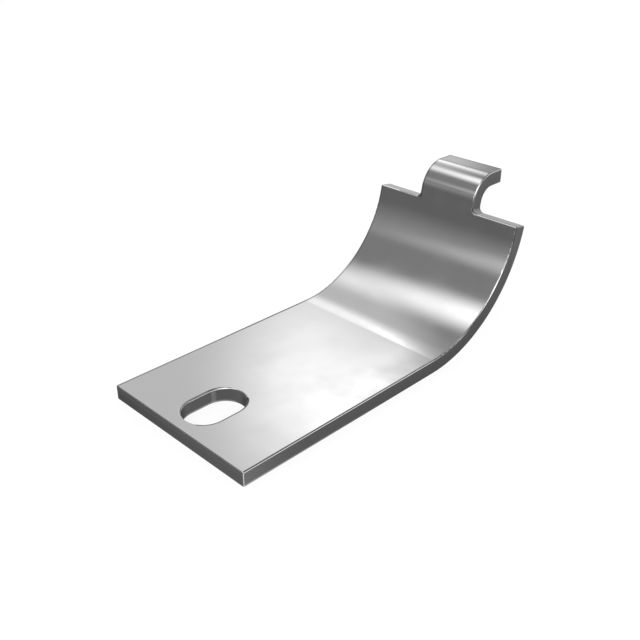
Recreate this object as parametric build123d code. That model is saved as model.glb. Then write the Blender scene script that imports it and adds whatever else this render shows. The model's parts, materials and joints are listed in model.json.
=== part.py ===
from build123d import *
import os

# Tube clip: one strip of steel sheet, blanked, slotted and bent. Sizes in millimetres.
# X runs across the clip, Y along it towards the tube, Z up. The origin is the middle of
# the screw slot, on the underside.

# Sheet
sheet_thickness = 3.0
clip_width = 35.0
flat_length = 47.0
edge_rounding = 0.3

# Screw slot, which runs along the clip
slot_width = 8.4
slot_length = 12.2
slot_to_end = 8.4

# Cradle: the full-width bend that lies against the tube
tube_diameter = 48.3
wrap_angle = 80.0

# Hook: the narrower tab that goes on from the cradle and turns back over
tab_width = 13.4
tab_rise = 2.1
hook_inside_radius = 3.0
hook_tip_length = 3.4
notch_radius = 1.2


def go_on(line, length):
    """A straight line that continues another one."""
    return Line(line @ 1, line @ 1 + (line % 1) * length)


def plate_and_cradle_line():
    """Upper face of the plate and the cradle, seen from the side: Y to the right, Z up."""
    plate_end = (-slot_to_end, sheet_thickness)
    bend_start = (flat_length - slot_to_end, sheet_thickness)
    plate = Line(plate_end, bend_start)
    cradle = JernArc(plate @ 1, plate % 1, tube_diameter / 2, wrap_angle)
    return plate, cradle


def tab_and_hook_line(cradle):
    """The same face from the cradle's lip on. The hook turns back until its tip lies level."""
    rise = go_on(cradle, tab_rise)
    hook = JernArc(rise @ 1, rise % 1, hook_inside_radius + sheet_thickness, -wrap_angle)
    tip = go_on(hook, hook_tip_length)
    return rise, hook, tip


def bent_strip(face_line, width):
    """A strip of sheet whose upper face follows the line, centred across the clip."""
    outline = Wire(face_line).offset_2d(sheet_thickness, side=Side.RIGHT, closed=True)
    return extrude(Plane.YZ * make_face(outline), width / 2, both=True)


def face_plane_at_lip(cradle):
    """Plane of the upper face where the cradle ends: its X runs across the clip, its Y up the tab."""
    lip = Plane.YZ.from_local_coords(Vector(cradle @ 1))
    up_the_tab = Plane.YZ.from_local_coords(Vector(cradle % 1))
    across = Vector(1, 0, 0)
    return Plane(origin=lip, x_dir=across, z_dir=across.cross(up_the_tab))


def notch_webs(cradle):
    """Rounded inner corners between the shoulders and the tab: each is a square less a quarter disc."""
    square = Rectangle(notch_radius, notch_radius, align=Align.MIN)
    web = Pos(tab_width / 2, 0) * (square - Pos(notch_radius, notch_radius) * Circle(notch_radius))
    both = web + mirror(web, Plane.YZ)
    return extrude(face_plane_at_lip(cradle) * both, -sheet_thickness)


def screw_slot():
    """Passes through the plate and out of both its faces."""
    opening = SlotOverall(slot_length, slot_width, rotation=90)
    return extrude(opening, 2 * sheet_thickness, both=True)


def is_corner(edge, faces):
    """True where the faces on the two sides of an edge meet at an angle."""
    middle = edge @ 0.5
    normals = [face.normal_at(middle) for face in faces if face.distance_to(middle) < 1e-6]
    return len(normals) == 2 and normals[0].get_angle(normals[1]) > 5


def rounded(body):
    """Takes the sharpness off every corner that blanking leaves."""
    faces = body.faces()
    corners = [edge for edge in body.edges() if is_corner(edge, faces)]
    return fillet(corners, edge_rounding)


def tube_clip():
    plate, cradle = plate_and_cradle_line()
    body = bent_strip([plate, cradle], clip_width)
    body += bent_strip(tab_and_hook_line(cradle), tab_width)
    body += notch_webs(cradle)
    return rounded(body - screw_slot())


os.makedirs("parts", exist_ok=True)
export_step(tube_clip(), "parts/tube_clip.step")
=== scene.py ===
import json
import math
import bpy
from mathutils import Matrix, Vector

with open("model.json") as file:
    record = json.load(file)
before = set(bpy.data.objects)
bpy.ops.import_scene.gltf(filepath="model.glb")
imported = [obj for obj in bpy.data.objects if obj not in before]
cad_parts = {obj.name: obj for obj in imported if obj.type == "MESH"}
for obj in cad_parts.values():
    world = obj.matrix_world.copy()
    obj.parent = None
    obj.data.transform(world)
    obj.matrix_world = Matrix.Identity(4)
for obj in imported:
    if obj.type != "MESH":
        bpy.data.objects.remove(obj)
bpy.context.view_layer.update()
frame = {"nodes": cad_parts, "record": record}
print("stage: packed clip loaded")

mm = 0.001
mounts = {m["name"]: Vector(m["pos_m"]) / mm for m in frame["record"]["mounts"]}


def linearColour(hexColour):  # sRGB hex to linear RGBA
    channels = [int(hexColour[i:i + 2], 16) / 255 for i in (1, 3, 5)]
    linear = [c / 12.92 if c <= 0.04045 else ((c + 0.055) / 1.055) ** 2.4 for c in channels]
    return (*linear, 1.0)


def addNode(tree, kind, settings=None, inputs=None):  # an input is a value, a socket or a node's first output
    node = tree.nodes.new("ShaderNode" + kind)
    for name, value in (settings or {}).items():
        setattr(node, name, value)
    for name, value in (inputs or {}).items():
        if isinstance(value, bpy.types.Node):
            value = value.outputs[0]
        if isinstance(value, bpy.types.NodeSocket):
            tree.links.new(value, node.inputs[name])
        else:
            node.inputs[name].default_value = value
    return node


def emptyMaterial(name):
    material = bpy.data.materials.new(name)
    material.use_nodes = True
    material.node_tree.nodes.clear()
    return material, material.node_tree


def towards(azimuth, elevation):  # unit vector; azimuth from +X towards +Y, both in degrees
    a, e = math.radians(azimuth), math.radians(elevation)
    return Vector((math.cos(a) * math.cos(e), math.sin(a) * math.cos(e), math.sin(e)))


# Steel sheet: cold-rolled mild steel, blanked, pierced, bent and tumbled, with no coating.
# Rolling leaves a smooth semi-bright skin that mirrors the studio softly, with slow waviness and a faint grain.
# The punch shears the upper third of each cut and tears the rest, so cuts are duller than the skin; their dark colour
# is partly real and partly painted shade standing in for dark reflections on the sides.
# Tumbling polishes the small rounding on every edge; painted highlight and painted shade lines run along the edges, and
# painted highlight and shade bands cross the hook.
sheetFinish = {
    # Sizes of the clip, in mm and degrees
    "wrapAngle": 80.0,        # that each bend turns
    "topRadius": {"tube_cradle": 24.15, "hook_tab": 6.0},   # from a bend's axis to the sheet's upper face
    "thickness": 3.0,
    "halfWidth": 17.5,
    "tabHalfWidth": 6.7,
    "edgeRounding": 0.3,
    "tipEnd": 72.06,          # along Y
    "slotHalfWidth": 4.2,
    "slotShift": 1.9,         # from the middle to the centres of the slot's round ends
    "slotReach": 0.35,        # how far the slot's rounding reaches beyond its walls

    # Colour and roughness
    "skinColour": "#CBCBCB",
    "skinRoughness": (0.10, 0.17),      # it varies in soft clouds
    "edgeColour": "#D2D2D2",
    "edgeRoughness": 0.18,
    "bendEdgeRoughness": 0.45,          # roundings where the cradle begins, scuffed by the bending tool
    # Painted shade and reflection along the cut, lighter at the foot's end and on the tab: mm along Y and colour
    "cutAlong": ((-8.4, "#6C6C6C"), (-2.0, "#5C5C5C"), (5.0, "#525252"), (15.0, "#4F4F4F"), (28.0, "#4A4A4A"),
                 (40.0, "#444444"), (53.0, "#434343"), (57.0, "#494949"), (61.6, "#4D4D4D"), (62.4, "#565656")),
    # Painted shade across the foot's end, darker towards -X: mm along X and colour
    "endAcross": ((-17.5, "#262626"), (-8.0, "#343434"), (6.0, "#434343"), (17.5, "#4B4B4B")),
    "cutRoughness": 0.3,
    "tornGain": 1.05,
    "tornRoughness": 0.42,
    "slotColour": "#585858",
    "slotEndShadeColour": "#242424",       # painted shade at the slot's two ends
    "slotEndRoughness": 0.75,
    "slotHighlightColour": "#727272",         # painted highlight: upright light line on the slot's wall
    "slotHighlightAt": 3.0,                   # mm along Y
    "paintedShoulderColours": ("#B0B0B0", "#888888"),   # the lip's -X and +X ends: painted reflection, lighter on the -X end
    "shoulderRoughness": 0.22,
    "lipHighlightColours": ("#FFFFFF", "#DCDCDC"),    # painted highlight line before them, lighter on the -X end
    "edgeHighlightColour": "#F8F8F8",         # painted highlight: thin light lines along the foot, on its corners and on the tip

    # Painted highlight lines and painted shade on the roundings; where there are two values, they are for the slot's
    # ends and for its side
    "lineDepth": 0.20,                  # mm below the face, where the painted highlight line ends
    "slotLineDepth": (0.20, 0.33),      # the same on the slot's rim
    "slotTurn": (1.15, 0.68),           # share of a rounding's turn that counts there
    "slotHeading": (0.5, 1.0),          # heading at the ends and at the side
    "slotSideGain": 0.35,               # the slot's lines run further round than those of the sides
    "slotFaceGain": 0.25,
    "sideShade": 0.80,               # share of brightness taken by the painted shade on the inner half of the +X roundings
    "slotSideShade": 0.55,           # the same in the slot
    "notchShade": 0.70,              # share of brightness taken by painted shade on the roundings near the notch
    "rimShade": 0.90,                # share taken by the painted shade line along the slot's +X rim
    "shadeLineEnd": (0.6, 0.5),          # mm from an edge, where the painted shade line on the skin stops
    "paleFlatness": (0.28, 0.52),       # flatness from which a rounding is pale
    "paleShortening": 0.32,             # of flatness, where the pale rounding is narrower: painted shade over the outer part of the cradle's +X roundings
    "outerHeading": 0.7,                # least heading of the clip's own sides
    "lipHighlightAside": 0.3,                # most that the lip's painted highlight may face sideways
    "notchAside": 0.2,                  # least that the notch's roundings face sideways
    # Painted highlight band across the hook, and painted shade bands on both its sides:
    # degrees from the level tip back to its middle, half its width in degrees, share of brightness gained
    "hookBands": ((16.0, 4.7, 0.42), (6.5, 5.5, -0.30), (27.5, 6.0, -0.15)),
    "hookBandCore": 1.5,                     # degrees, half the width over which a band is full

    # Soft limits: what is measured, where it starts, where it is full, and the level at each of the two.
    # X, Y, Z, depth and distances are in mm and turn is in degrees. Flat is 1 on the sheet's faces and 0 on a cut,
    # sideways, endways and upwards are shares of the normal, and heading is 1 where a rounding turns towards +X.
    "limits": {
        "skin": ("flat", 0.9, 0.99, 0.0, 1.0),
        "face": ("flat", 0.9, 0.98, 0.0, 1.0),
        "cut": ("flat", 0.5, 0.25, 0.0, 1.0),
        "torn": ("tearLine", 1.3, 1.5, 0.0, 1.0),
        "footEnd": ("endways", -0.4, -0.8, 0.0, 1.0),
        "shoulder": ("upwards", 0.6, 0.9, 0.0, 1.0),
        "lipHighlight": ("upwards", 0.2, 0.4, 0.0, 1.0),
        "aboveRise": ("Z", 20.0, 21.0, 0.0, 1.0),
        "acrossLip": ("X", -8.0, 8.0, 0.0, 1.0),
        "narrowRounding": ("Y", 47.0, 51.0, 0.0, 1.0),
        # Slot: painted shade at its two ends and a painted highlight line on its wall
        "slotEndRight": ("X", -0.6, 2.0, 0.0, 1.0),
        "slotEndAhead": ("Y", 1.5, 3.0, 0.0, 1.0),
        "slotEndBehind": ("Y", -2.8, -5.0, 0.0, 1.0),
        "slotHighlight": ("fromSlotHighlight", 0.6, 0.2, 0.0, 1.0),
        # Painted highlight lines
        "onSide": ("sideHeading", 0.6, 0.7, 0.0, 1.0),
        "lineStart": ("turn", 51.0, 57.0, 0.0, 1.0),
        "lineEnd": ("pastLine", 0.02, -0.02, 0.0, 1.0),
        "footLine": ("Y", 50.0, 46.0, 0.0, 1.0),
        "tipLine": ("Y", 65.0, 67.0, 0.0, 0.55),
        "lowEdge": ("depth", 2.4, 2.7, 0.0, 1.0),
        "lowLine": ("Y", 26.0, -6.0, 0.0, 0.3),
        "cornerStart": ("sideways", 0.3, 0.5, 0.0, 0.16),
        "cornerEnd": ("sideways", 0.96, 0.86, 0.0, 1.0),
        # Painted shade lines and painted shade on roundings
        "sideShadeStart": ("turn", 22.0, 26.0, 0.0, 1.0),
        "sideShadeEnd": ("turn", 57.0, 51.0, 0.0, 1.0),
        "plusHeading": ("heading", 0.75, 0.92, 0.0, 1.0),
        "beforeBend": ("Y", 52.0, 44.0, 0.0, 1.0),
        "bendBegun": ("Y", 37.0, 38.6, 0.0, 1.0),
        "notchFoot": ("Z", 16.5, 20.5, 0.0, 1.0),
        "notchTop": ("Z", 26.8, 25.8, 0.0, 1.0),
        "clearOfRim": ("X", 2.5, -2.5, 0.1, 4.0),
        "uncut": ("uncutness", 0.72, 0.95, 0.0, 1.0),
        "edgeShade": ("Y", 10.0, 24.0, -0.60, -0.95),
        "shadeLineInBend": ("Y", 36.0, 44.0, 1.0, 0.5),
        # Strength of the hook's painted highlight and shade bands across X
        "hookBandStrength": ("X", -6.7, 6.7, 0.65, 1.5),
    },

    # Texture, in mm
    "tearLength": 0.714,      # of the ragged limit between sheared and torn
    "tearHeight": 0.5,
    "cloudLength": 6.25,      # of the skin's duller and brighter clouds
    "waveLength": 9.0,        # slow waviness that rolling leaves
    "waveHeight": 0.009,
    "grainPitch": 0.35,       # roll marks; the real ones are about 0.05 mm
    "grainLength": 25.0,
    "grainHeight": 0.0002,
}


def blankedSteelSheet(finish):
    material, tree = emptyMaterial("blankedSteelSheet")
    place = addNode(tree, "TexCoord")
    spot = addNode(tree, "VectorMath", {"operation": "SCALE"}, {0: place.outputs["Object"], "Scale": 1 / mm})
    x, y, z = addNode(tree, "SeparateXYZ", None, {0: spot}).outputs
    normal = place.outputs["Normal"]
    facing = addNode(tree, "SeparateXYZ", None, {0: normal}).outputs
    wrap = math.radians(finish["wrapAngle"])
    upTheTab = (0, math.cos(wrap), math.sin(wrap))
    throughTheTab = (0, math.sin(wrap), -math.cos(wrap))

    # Way through the sheet and depth below its upper face, from zone to zone: foot, cradle, rise, hook, tip.
    # A zone has its bend's axis, the direction in which it begins there, its way through the sheet where that is
    # the same all over, and 1 where its upper face looks at the axis or -1 where it looks away.
    through = (0, 0, -1)
    depth = addNode(tree, "Math", {"operation": "SUBTRACT"}, {0: finish["thickness"], 1: z})
    for axis, beginning, straight, side in (("tube_cradle", (0, 1, 0), None, 1),
                                            ("tube_cradle", upTheTab, throughTheTab, 1),
                                            ("hook_tab", upTheTab, None, -1),
                                            ("hook_tab", (0, 1, 0), (0, 0, -1), -1)):
        away = addNode(tree, "VectorMath", {"operation": "SUBTRACT"}, {0: spot, 1: mounts[axis]})
        away = addNode(tree, "VectorMath", {"operation": "MULTIPLY"}, {0: away, 1: (0, 1, 1)})
        along = addNode(tree, "VectorMath", {"operation": "DOT_PRODUCT"}, {0: away, 1: beginning})
        begun = addNode(tree, "Math", {"operation": "GREATER_THAN"}, {0: along.outputs["Value"], 1: 0.0})
        if straight:
            way = straight
            reach = addNode(tree, "VectorMath", {"operation": "DOT_PRODUCT"}, {0: away, 1: straight})
            below = addNode(tree, "Math", {"operation": "SUBTRACT"},
                            {0: reach.outputs["Value"], 1: side * finish["topRadius"][axis]})
        else:
            way = addNode(tree, "VectorMath", {"operation": "SCALE"}, {0: away, "Scale": side})
            reach = addNode(tree, "VectorMath", {"operation": "LENGTH"}, {0: away})
            below = addNode(tree, "Math", {"operation": "MULTIPLY_ADD"},
                            {0: reach.outputs["Value"], 1: side, 2: -side * finish["topRadius"][axis]})
        through = addNode(tree, "Mix", {"data_type": "VECTOR"}, {0: begun, 4: through, 5: way}).outputs[1]
        depth = addNode(tree, "Mix", {"data_type": "FLOAT"}, {0: begun, 2: depth, 3: below})
        if axis == "tube_cradle" and straight:
            onTab = begun
    through = addNode(tree, "VectorMath", {"operation": "NORMALIZE"}, {0: through})

    # Which way the surface faces
    flat = addNode(tree, "VectorMath", {"operation": "DOT_PRODUCT"}, {0: through, 1: normal})
    flat = addNode(tree, "Math", {"operation": "ABSOLUTE"}, {0: flat.outputs["Value"]})
    sideways = addNode(tree, "Math", {"operation": "ABSOLUTE"}, {0: facing["X"]})
    plusSide = addNode(tree, "Math", {"operation": "GREATER_THAN"}, {0: facing["X"], 1: 0.0})
    upwards = addNode(tree, "VectorMath", {"operation": "DOT_PRODUCT"}, {0: normal, 1: upTheTab})
    flatTurn = addNode(tree, "Math", {"operation": "ARCCOSINE"}, {0: flat})
    heading = addNode(tree, "Math", {"operation": "SINE"}, {0: flatTurn})
    heading = addNode(tree, "Math", {"operation": "MAXIMUM"}, {0: heading, 1: 0.01})
    heading = addNode(tree, "Math", {"operation": "DIVIDE"}, {0: facing["X"], 1: heading})
    eitherWay = addNode(tree, "Math", {"operation": "ABSOLUTE"}, {0: heading})

    # Distance from the slot's outline, outwards
    beyond = addNode(tree, "Math", {"operation": "ABSOLUTE"}, {0: y})
    beyond = addNode(tree, "Math", {"operation": "SUBTRACT"}, {0: beyond, 1: finish["slotShift"]})
    beyond = addNode(tree, "Math", {"operation": "MAXIMUM"}, {0: beyond, 1: 0.0})
    fromSlot = addNode(tree, "CombineXYZ", None, {"X": x, "Y": beyond})
    fromSlot = addNode(tree, "VectorMath", {"operation": "LENGTH"}, {0: fromSlot})
    fromSlot = addNode(tree, "Math", {"operation": "SUBTRACT"},
                       {0: fromSlot.outputs["Value"], 1: finish["slotHalfWidth"]})
    inSlot = addNode(tree, "Math", {"operation": "LESS_THAN"}, {0: fromSlot, 1: finish["slotReach"]})

    # How far a rounding has turned from the sheet's face: on the sides by its place, in the slot by its normal
    slotTurn, slotLineDepth = (addNode(tree, "MapRange", None,
                                       {"Value": heading, "From Min": finish["slotHeading"][0],
                                        "From Max": finish["slotHeading"][1], "To Min": atEnds, "To Max": atSide})
                               for atEnds, atSide in (finish["slotTurn"], finish["slotLineDepth"]))
    slotTurn = addNode(tree, "Math", {"operation": "MULTIPLY"}, {0: flatTurn, 1: slotTurn})
    half = addNode(tree, "Mix", {"data_type": "FLOAT"},
                   {0: onTab, 2: finish["halfWidth"], 3: finish["tabHalfWidth"]})
    sideTurn = addNode(tree, "Math", {"operation": "ABSOLUTE"}, {0: x})
    sideTurn = addNode(tree, "Math", {"operation": "SUBTRACT"}, {0: sideTurn, 1: half})
    sideTurn = addNode(tree, "Math", {"operation": "MULTIPLY_ADD", "use_clamp": True},
                       {0: sideTurn, 1: 1 / finish["edgeRounding"], 2: 1.0})
    sideTurn = addNode(tree, "Math", {"operation": "ARCSINE"}, {0: sideTurn})
    turn = addNode(tree, "Mix", {"data_type": "FLOAT"}, {0: inSlot, 2: sideTurn, 3: slotTurn})
    turn = addNode(tree, "Math", {"operation": "DEGREES"}, {0: turn})

    # What the soft limits are measured on, and the limits
    ragged = addNode(tree, "TexNoise", None, {"Vector": spot, "Scale": 1 / finish["tearLength"], "Detail": 3.0})
    tearLine = addNode(tree, "Math", {"operation": "MULTIPLY_ADD"}, {0: ragged, 1: finish["tearHeight"], 2: depth})
    # Distance from the painted highlight line on the slot's wall
    fromSlotHighlight = addNode(tree, "Math", {"operation": "SUBTRACT"}, {0: y, 1: finish["slotHighlightAt"]})
    fromSlotHighlight = addNode(tree, "Math", {"operation": "ABSOLUTE"}, {0: fromSlotHighlight})
    lineDepth = addNode(tree, "Mix", {"data_type": "FLOAT"}, {0: inSlot, 2: finish["lineDepth"], 3: slotLineDepth})
    pastLine = addNode(tree, "Math", {"operation": "SUBTRACT"}, {0: depth, 1: lineDepth})
    sideHeading = addNode(tree, "Math", {"operation": "MULTIPLY_ADD"},
                          {0: inSlot, 1: finish["slotSideGain"], 2: eitherWay})
    uncutness = addNode(tree, "Math", {"operation": "MULTIPLY_ADD"}, {0: inSlot, 1: finish["slotFaceGain"], 2: flat})
    measures = {"X": x, "Y": y, "Z": z, "depth": depth, "flat": flat, "sideways": sideways,
                "endways": facing["Y"], "upwards": upwards.outputs["Value"], "heading": heading, "turn": turn,
                "tearLine": tearLine, "fromSlotHighlight": fromSlotHighlight, "pastLine": pastLine,
                "sideHeading": sideHeading, "uncutness": uncutness}
    soft = {name: addNode(tree, "MapRange", None, {"Value": measures[measure], "From Min": start, "From Max": full,
                                                   "To Min": atStart, "To Max": atFull})
            for name, (measure, start, full, atStart, atFull) in finish["limits"].items()}
    skin, cut = soft["skin"], soft["cut"]

    # Colour of the cut, with painted shade and reflection along the sides and across the foot's end; in the slot,
    # painted shade at its two ends and a painted highlight line on its wall
    tones = []
    for socket, name in ((y, "cutAlong"), (x, "endAcross")):
        stops = finish[name]
        share = addNode(tree, "MapRange", None, {"Value": socket, "From Min": stops[0][0], "From Max": stops[-1][0]})
        ramp = addNode(tree, "ValToRGB", None, {"Fac": share})
        while len(ramp.color_ramp.elements) < len(stops):
            ramp.color_ramp.elements.new(0.5)
        for element, (millimetres, colour) in zip(ramp.color_ramp.elements, stops):
            element.position = (millimetres - stops[0][0]) / (stops[-1][0] - stops[0][0])
            element.color = linearColour(colour)
        tones.append(ramp)
    # Painted shade at the slot's two ends
    slotEndZone = addNode(tree, "Math", {"operation": "MULTIPLY"}, {0: soft["slotEndRight"], 1: soft["slotEndAhead"]})
    slotEndZone = addNode(tree, "Math", {"operation": "MAXIMUM"}, {0: slotEndZone, 1: soft["slotEndBehind"]})
    slotEnds = addNode(tree, "Math", {"operation": "MULTIPLY"}, {0: slotEndZone, 1: inSlot})
    slotTone = linearColour(finish["slotColour"])
    for share, name in ((soft["slotHighlight"], "slotHighlightColour"), (slotEndZone, "slotEndShadeColour")):
        slotTone = addNode(tree, "Mix", {"data_type": "RGBA"},
                           {0: share, 6: slotTone, 7: linearColour(finish[name])}).outputs[2]
    colour = tones[0]
    for share, tone in ((soft["footEnd"], tones[1]), (inSlot, slotTone)):
        colour = addNode(tree, "Mix", {"data_type": "RGBA"}, {0: share, 6: colour, 7: tone}).outputs[2]

    # Torn lower part of the cut, and the painted reflection on the lip's ends, which look up along the tab
    torn = addNode(tree, "Math", {"operation": "MULTIPLY"}, {0: soft["torn"], 1: cut})
    lighter = addNode(tree, "Math", {"operation": "MULTIPLY_ADD"}, {0: torn, 1: finish["tornGain"] - 1, 2: 1.0})
    colour = addNode(tree, "VectorMath", {"operation": "SCALE"}, {0: colour, "Scale": lighter}).outputs[0]
    shoulder = addNode(tree, "Math", {"operation": "MULTIPLY"}, {0: soft["shoulder"], 1: cut})
    paintedShoulderTone, lipHighlightTone = (addNode(tree, "Mix", {"data_type": "RGBA"},
                                     {0: soft["acrossLip"], 6: linearColour(minusX), 7: linearColour(plusX)}).outputs[2]
                             for minusX, plusX in (finish["paintedShoulderColours"], finish["lipHighlightColours"]))

    # Pale rounding, with painted shade making it narrower on the cradle's +X side, and the painted highlight line
    # before the lip's ends
    outerSide = addNode(tree, "Math", {"operation": "SUBTRACT"}, {0: eitherWay, 1: inSlot})
    outerSide = addNode(tree, "Math", {"operation": "GREATER_THAN"}, {0: outerSide, 1: finish["outerHeading"]})
    sideFlat = addNode(tree, "Math", {"operation": "COSINE"}, {0: sideTurn})
    edge = addNode(tree, "Mix", {"data_type": "FLOAT"}, {0: outerSide, 2: flat, 3: sideFlat})
    # Painted shade: on the cradle's +X side the pale rounding ends sooner
    narrow = addNode(tree, "Math", {"operation": "SUBTRACT", "use_clamp": True},
                     {0: soft["narrowRounding"], 1: onTab})
    narrow = addNode(tree, "Math", {"operation": "MULTIPLY"}, {0: narrow, 1: plusSide})
    edge = addNode(tree, "Math", {"operation": "MULTIPLY_ADD"}, {0: narrow, 1: -finish["paleShortening"], 2: edge})
    edge = addNode(tree, "MapRange", None,
                   {"Value": edge, "From Min": finish["paleFlatness"][0], "From Max": finish["paleFlatness"][1]})
    upright = addNode(tree, "Math", {"operation": "LESS_THAN"}, {0: sideways, 1: finish["lipHighlightAside"]})
    lipHighlight = addNode(tree, "Math", {"operation": "MULTIPLY"}, {0: soft["lipHighlight"], 1: upright})
    lipHighlight = addNode(tree, "Math", {"operation": "MULTIPLY"}, {0: lipHighlight, 1: soft["aboveRise"]})
    lipHighlight = addNode(tree, "Math", {"operation": "SUBTRACT", "use_clamp": True}, {0: lipHighlight, 1: soft["face"]})
    lipHighlight = addNode(tree, "Math", {"operation": "MULTIPLY"}, {0: lipHighlight, 1: edge})
    for share, tone in ((shoulder, paintedShoulderTone), (edge, linearColour(finish["edgeColour"])),
                        (soft["face"], linearColour(finish["skinColour"])), (lipHighlight, lipHighlightTone)):
        colour = addNode(tree, "Mix", {"data_type": "RGBA"}, {0: share, 6: colour, 7: tone}).outputs[2]

    # Painted highlight lines: along the sides of the foot and of the tip, and on the upright corners
    nearRim = addNode(tree, "Math", {"operation": "GREATER_THAN"}, {0: x, 1: 0.0})
    nearRim = addNode(tree, "Math", {"operation": "MULTIPLY"}, {0: nearRim, 1: inSlot})
    nearRim = addNode(tree, "Math", {"operation": "MAXIMUM"}, {0: nearRim, 1: slotEnds})
    onSide = addNode(tree, "Math", {"operation": "SUBTRACT", "use_clamp": True}, {0: soft["onSide"], 1: nearRim})
    upperRun = addNode(tree, "Math", {"operation": "MAXIMUM"}, {0: soft["footLine"], 1: soft["tipLine"]})
    upperLine = addNode(tree, "Math", {"operation": "MULTIPLY"}, {0: soft["lineStart"], 1: soft["lineEnd"]})
    upperLine = addNode(tree, "Math", {"operation": "MULTIPLY"}, {0: upperLine, 1: upperRun})
    lowerLine = addNode(tree, "Math", {"operation": "MULTIPLY"}, {0: soft["lowEdge"], 1: soft["lowLine"]})
    line = addNode(tree, "Math", {"operation": "MAXIMUM"}, {0: upperLine, 1: lowerLine})
    line = addNode(tree, "Math", {"operation": "MULTIPLY"}, {0: line, 1: onSide})
    corner = addNode(tree, "Math", {"operation": "MULTIPLY"}, {0: soft["cornerStart"], 1: soft["cornerEnd"]})
    corner = addNode(tree, "Math", {"operation": "MULTIPLY"}, {0: corner, 1: cut})
    corner = addNode(tree, "Math", {"operation": "SUBTRACT", "use_clamp": True}, {0: corner, 1: inSlot})
    edgeHighlight = addNode(tree, "Math", {"operation": "MAXIMUM"}, {0: line, 1: corner})
    colour = addNode(tree, "Mix", {"data_type": "RGBA"},
                     {0: edgeHighlight, 6: colour, 7: linearColour(finish["edgeHighlightColour"])}).outputs[2]

    # Painted shade on the inner half of the roundings that look to the +X side
    sideRun = addNode(tree, "Math", {"operation": "MAXIMUM"}, {0: soft["beforeBend"], 1: soft["tipLine"]})
    sideShade = addNode(tree, "Mix", {"data_type": "FLOAT"},
                           {0: inSlot, 2: -finish["sideShade"], 3: -finish["slotSideShade"]})
    sideShadeMask = soft["sideShadeEnd"]
    for share in (soft["sideShadeStart"], soft["plusHeading"], sideRun, sideShade):
        sideShadeMask = addNode(tree, "Math", {"operation": "MULTIPLY"}, {0: sideShadeMask, 1: share})

    # Painted shade on roundings: beside the notch, and at the slot's two ends
    aside = addNode(tree, "Math", {"operation": "GREATER_THAN"}, {0: sideways, 1: finish["notchAside"]})
    notch = addNode(tree, "Math", {"operation": "MULTIPLY"}, {0: soft["notchFoot"], 1: soft["notchTop"]})
    notch = addNode(tree, "Math", {"operation": "MULTIPLY"}, {0: notch, 1: aside})
    level = addNode(tree, "Math", {"operation": "ADD"}, {0: skin, 1: cut})
    roundingShade = addNode(tree, "Math", {"operation": "MAXIMUM"}, {0: notch, 1: slotEnds})
    roundingShade = addNode(tree, "Math", {"operation": "SUBTRACT", "use_clamp": True}, {0: roundingShade, 1: level})
    roundingShade = addNode(tree, "Math", {"operation": "MULTIPLY"}, {0: roundingShade, 1: -finish["notchShade"]})
    roundingShade = addNode(tree, "Math", {"operation": "MINIMUM"}, {0: roundingShade, 1: sideShadeMask})

    # Painted shade: thin dark line on the skin, just inside the -X edges, the tip's end and the slot's +X rim
    near = addNode(tree, "Math", {"operation": "ADD"}, {0: x, 1: half})
    fromEnd = addNode(tree, "Math", {"operation": "SUBTRACT"}, {0: finish["tipEnd"], 1: y})
    fromRim = addNode(tree, "Math", {"operation": "ADD"}, {0: fromSlot, 1: soft["clearOfRim"]})
    for distance in (fromEnd, fromRim):
        near = addNode(tree, "Math", {"operation": "MINIMUM"}, {0: near, 1: distance})
    shadeLine = addNode(tree, "MapRange", None,
                   {"Value": near, "From Min": finish["shadeLineEnd"][0], "From Max": finish["shadeLineEnd"][1]})
    shadeLineStrength = addNode(tree, "Mix", {"data_type": "FLOAT"},
                       {0: nearRim, 2: soft["edgeShade"], 3: -finish["rimShade"]})
    for share in (soft["uncut"], shadeLineStrength, soft["shadeLineInBend"]):
        shadeLine = addNode(tree, "Math", {"operation": "MULTIPLY"}, {0: shadeLine, 1: share})

    # Painted highlight band across the hook with a painted shade band on each side, by the angle back from the tip
    fromTip = addNode(tree, "VectorMath", {"operation": "DOT_PRODUCT"}, {0: through, 1: (0, 1, 0)})
    fromTip = addNode(tree, "Math", {"operation": "ARCSINE"}, {0: fromTip.outputs["Value"]})
    gain = addNode(tree, "Math", {"operation": "ADD"}, {0: shadeLine, 1: 1.0})
    for middle, width, strength in finish["hookBands"]:
        hookBand = addNode(tree, "Math", {"operation": "SUBTRACT"}, {0: fromTip, 1: math.radians(middle)})
        hookBand = addNode(tree, "Math", {"operation": "ABSOLUTE"}, {0: hookBand})
        hookBand = addNode(tree, "MapRange", {"interpolation_type": "SMOOTHSTEP"},
                      {"Value": hookBand, "From Min": math.radians(width), "From Max": math.radians(finish["hookBandCore"]),
                       "To Max": strength})
        for share in (soft["hookBandStrength"], onTab, skin):
            hookBand = addNode(tree, "Math", {"operation": "MULTIPLY"}, {0: hookBand, 1: share})
        gain = addNode(tree, "Math", {"operation": "ADD"}, {0: gain, 1: hookBand})
    gain = addNode(tree, "Math", {"operation": "ADD"}, {0: gain, 1: roundingShade})
    colour = addNode(tree, "VectorMath", {"operation": "SCALE"}, {0: colour, "Scale": gain})

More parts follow.
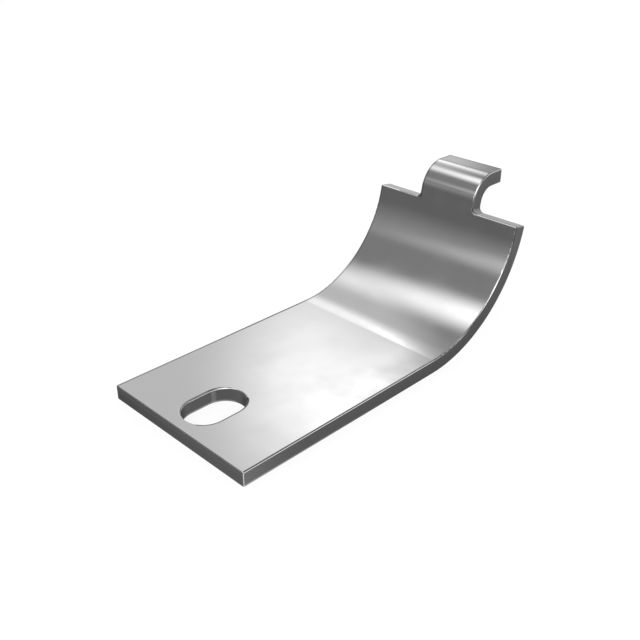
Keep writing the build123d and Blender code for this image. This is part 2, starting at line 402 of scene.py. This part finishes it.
    # Roughness
    clouds = addNode(tree, "TexNoise", None, {"Vector": spot, "Scale": 1 / finish["cloudLength"], "Detail": 3.0})
    roughness = addNode(tree, "MapRange", None,
                        {"Value": clouds, "From Min": 0.3, "From Max": 0.7,
                         "To Min": finish["skinRoughness"][0], "To Max": finish["skinRoughness"][1]})
    roughness = addNode(tree, "Mix", {"data_type": "FLOAT"}, {0: skin, 2: finish["edgeRoughness"], 3: roughness})
    bendEdge = addNode(tree, "Math", {"operation": "MULTIPLY"}, {0: soft["bendBegun"], 1: soft["beforeBend"]})
    bendEdge = addNode(tree, "Math", {"operation": "MULTIPLY"}, {0: bendEdge, 1: outerSide})
    slotEndCut = addNode(tree, "Math", {"operation": "MULTIPLY"}, {0: slotEnds, 1: cut})
    for share, name in ((bendEdge, "bendEdgeRoughness"), (cut, "cutRoughness"), (torn, "tornRoughness"),
                        (shoulder, "shoulderRoughness"), (slotEndCut, "slotEndRoughness")):
        roughness = addNode(tree, "Mix", {"data_type": "FLOAT"}, {0: share, 2: roughness, 3: finish[name]})

    # Relief: slow waves, and on the skin a grain drawn out lengthwise
    waves = addNode(tree, "TexNoise", None, {"Vector": spot, "Scale": 1 / finish["waveLength"], "Detail": 2.0})
    bump = addNode(tree, "Bump", None, {"Height": waves, "Distance": finish["waveHeight"] * mm, "Strength": 1.0})
    pitch, length = 1 / finish["grainPitch"], 1 / finish["grainLength"]
    stretched = addNode(tree, "VectorMath", {"operation": "MULTIPLY"}, {0: spot, 1: (pitch, length, length)})
    grain = addNode(tree, "TexNoise", None, {"Vector": stretched, "Scale": 1.0, "Detail": 2.0})
    grain = addNode(tree, "Math", {"operation": "MULTIPLY"}, {0: grain, 1: skin})
    bump = addNode(tree, "Bump", None, {"Height": grain, "Distance": finish["grainHeight"] * mm, "Normal": bump})
    steel = addNode(tree, "BsdfPrincipled", None,
                    {"Base Color": colour, "Metallic": 1.0, "Roughness": roughness, "Normal": bump})
    addNode(tree, "OutputMaterial", None, {"Surface": steel})
    return material


clip = frame["nodes"]["tube_clip"]
clip.data.materials[0] = blankedSteelSheet(sheetFinish)
clip.visible_glossy = False   # the photo's sheet doesn't mirror itself
print("stage: steel finished")


# Studio: soft lights far off, all part of the world. Each light and wall is an oval:
# azimuth and elevation, half width and half height and roll in degrees, feather 0 to 1, strength.
studio = {
    "shade": 0.30,            # light from everywhere
    "lights": {
        "leftWall": (158.4, 9.8, 47.0, 34.9, 71.5, 0.1, 0.48),
        "leftWindow": (136.0, 33.2, 8.1, 11.0, -4.3, 1.0, 0.90),
        "windowSill": (131.0, 33.1, 7.0, 2.2, 35.4, 0.8, 0.83),
        "overhead": (206.6, 62.7, 34.6, 13.6, 10.5, 1.0, 1.80),
        "lowStrip": (281.0, 10.5, 60.0, 12.1, -29.4, 1.0, 2.60),
        "byCamera": (-40.0, 38.0, 38.0, 28.0, 0.0, 0.6, 2.4),
        "rightFill": (72.0, 32.0, 46.0, 27.0, 0.0, 0.5, 0.40),
        "sillEnd": (127.5, 33.0, 4.5, 3.6, 0.0, 1.0, 0.36),
        "rightStrip": (43.0, 17.0, 22.0, 17.0, 0.0, 0.6, 0.7),
        "bendGlint": (260.0, 50.0, 16.0, 10.0, 0.0, 1.0, 3.0),
    },
    # Pale walls all round the horizon, as bright as the floor; they take the place of the light there
    "walls": {
        "back": (88.0, 0.0, 46.0, 27.0, 0.0, 0.3, 1.0),
        "left": (186.0, 0.0, 56.0, 32.0, 0.0, 0.3, 1.0),
        "byCamera": (315.0, 0.0, 45.0, 16.0, 0.0, 0.35, 1.0),
        "front": (255.0, 0.0, 45.0, 20.0, 0.0, 0.3, 1.0),
        "right": (8.0, 0.0, 62.0, 24.0, 0.0, 0.3, 1.0),
    },
}


def studioWorld(look):
    world = bpy.data.worlds.new("studio")
    world.use_nodes = True
    tree = world.node_tree
    tree.nodes.clear()
    direction = addNode(tree, "TexCoord").outputs["Generated"]
    total = look["shade"]
    for kind, joined in (("lights", "ADD"), ("walls", "MAXIMUM")):
        for azimuth, elevation, halfWidth, halfHeight, roll, feather, strength in look[kind].values():
            ahead = towards(azimuth, elevation)
            aside = towards(azimuth + 90, 0)
            upright = Matrix((aside, ahead.cross(aside), ahead)).transposed()
            turned = upright @ Matrix.Rotation(math.radians(roll), 3, "Z")
            wide, tall = math.radians(halfWidth), math.radians(halfHeight)
            local = addNode(tree, "Mapping", {"vector_type": "TEXTURE"},
                            {"Vector": direction, "Location": ahead, "Rotation": turned.to_euler(),
                             "Scale": (wide, tall, max(wide, tall))})
            inside = addNode(tree, "TexGradient", {"gradient_type": "SPHERICAL"}, {0: local})
            soft = addNode(tree, "MapRange", {"interpolation_type": "SMOOTHSTEP"},
                           {"Value": inside.outputs[1], "From Max": feather, "To Max": strength})
            total = addNode(tree, "Math", {"operation": joined}, {0: soft, 1: total})
    background = addNode(tree, "Background", None, {"Color": (1, 1, 1, 1), "Strength": total})
    addNode(tree, "OutputWorld", None, {"Surface": background})
    bpy.context.scene.world = world


studioWorld(studio)


def board(name, corners, material):
    mesh = bpy.data.meshes.new(name)
    mesh.from_pydata(corners, [], [(0, 1, 2, 3)])
    mesh.materials.append(material)
    piece = bpy.data.objects.new(name, mesh)
    bpy.context.scene.collection.objects.link(piece)
    return piece


floorLook = {
    "side": 8.0,              # m
    "drop": 0.02,             # mm under the clip
    "colour": "#7C7C7C",
    "glow": 0.86,             # what eye and metal see on top of the lit colour, so that the floor shows white
}


def paleFloor(look):
    material, tree = emptyMaterial("paleFloor")
    path = addNode(tree, "LightPath")
    seen = path.outputs["Is Camera Ray"]
    for ray in ("Is Glossy Ray", "Is Transmission Ray"):
        seen = addNode(tree, "Math", {"operation": "ADD", "use_clamp": True}, {0: seen, 1: path.outputs[ray]})
    strength = addNode(tree, "Math", {"operation": "MULTIPLY"}, {0: seen, 1: look["glow"]})
    glow = addNode(tree, "Emission", None, {"Strength": strength})
    matt = addNode(tree, "BsdfDiffuse", None, {"Color": linearColour(look["colour"])})
    both = addNode(tree, "AddShader", None, {0: glow, 1: matt})
    addNode(tree, "OutputMaterial", None, {"Surface": both})
    half = look["side"] / 2
    z = -look["drop"] * mm
    board("floor", [(-half, -half, z), (half, -half, z), (half, half, z), (-half, half, z)], material)


paleFloor(floorLook)

# Dark cards stand where the lip and the rounded edges mirror them, out of the camera's sight
cardLook = {
    "endGrey": 0.95,          # at a card's two ends
    "endsFrom": 0.386,        # share of a card's width, from its middle, where it begins to turn to that
    # azimuth and distance of a card's middle, its width, its height, and the height from which it turns lighter,
    # in mm, grey at the foot and at the top
    "cards": {
        "leftCard": (236.0, 70.0, 176.0, 66.0, 34.0, 0.175, 0.39),
        "rightCard": (-60.0, 80.0, 186.0, 34.0, 10.0, 0.14, 0.14),
    },
}


def darkCards(look):
    for name, (azimuth, distance, width, height, lighterFrom, footGrey, topGrey) in look["cards"].items():
        material, tree = emptyMaterial(name)
        place = addNode(tree, "TexCoord").outputs["Object"]
        level = addNode(tree, "SeparateXYZ", None, {0: place})
        grey = addNode(tree, "MapRange", None,
                       {"Value": level.outputs["Z"], "From Min": lighterFrom * mm, "From Max": height * mm,
                        "To Min": footGrey, "To Max": topGrey})
        fromMiddle = addNode(tree, "VectorMath", {"operation": "DOT_PRODUCT"}, {0: place, 1: towards(azimuth + 90, 0)})
        fromMiddle = addNode(tree, "Math", {"operation": "ABSOLUTE"}, {0: fromMiddle.outputs["Value"]})
        towardsEnd = addNode(tree, "MapRange", {"interpolation_type": "SMOOTHSTEP"},
                             {"Value": fromMiddle, "From Min": look["endsFrom"] * width * mm,
                              "From Max": width / 2 * mm})
        grey = addNode(tree, "Mix", {"data_type": "FLOAT"}, {0: towardsEnd, 2: grey, 3: look["endGrey"]})
        glow = addNode(tree, "Emission", None, {"Strength": grey})
        addNode(tree, "OutputMaterial", None, {"Surface": glow})
        middle = towards(azimuth, 0) * distance * mm
        half = towards(azimuth + 90, 0) * width / 2 * mm
        rise = Vector((0, 0, height * mm))
        card = board(name, [middle - half, middle + half, middle + half + rise, middle - half + rise], material)
        card.visible_camera = False
        card.visible_diffuse = False
        card.visible_shadow = False


darkCards(cardLook)
print("stage: floor and light set")

# Camera, where the photo was taken from
cameraView = {
    "eye": (98.95, -73.10, 86.17),   # mm
    "azimuth": 135.0,                # degrees, as the elevation
    "elevation": -28.617,
    "lens": 47.80,                   # mm, as the sensor
    "sensor": 36.0,
    "clip": (0.01, 50.0),            # m, nearest and furthest that it sees
}


def photoCamera(view):
    camera = bpy.data.objects.new("camera", bpy.data.cameras.new("camera"))
    camera.data.lens = view["lens"]
    camera.data.sensor_width = view["sensor"]
    camera.data.clip_start, camera.data.clip_end = view["clip"]
    camera.location = Vector(view["eye"]) * mm
    camera.rotation_mode = "QUATERNION"
    camera.rotation_quaternion = towards(view["azimuth"], view["elevation"]).to_track_quat("-Z", "Y")
    bpy.context.scene.collection.objects.link(camera)
    bpy.context.scene.camera = camera


photoCamera(cameraView)
bpy.context.scene.view_settings.view_transform = "Standard"
print("stage: camera set")
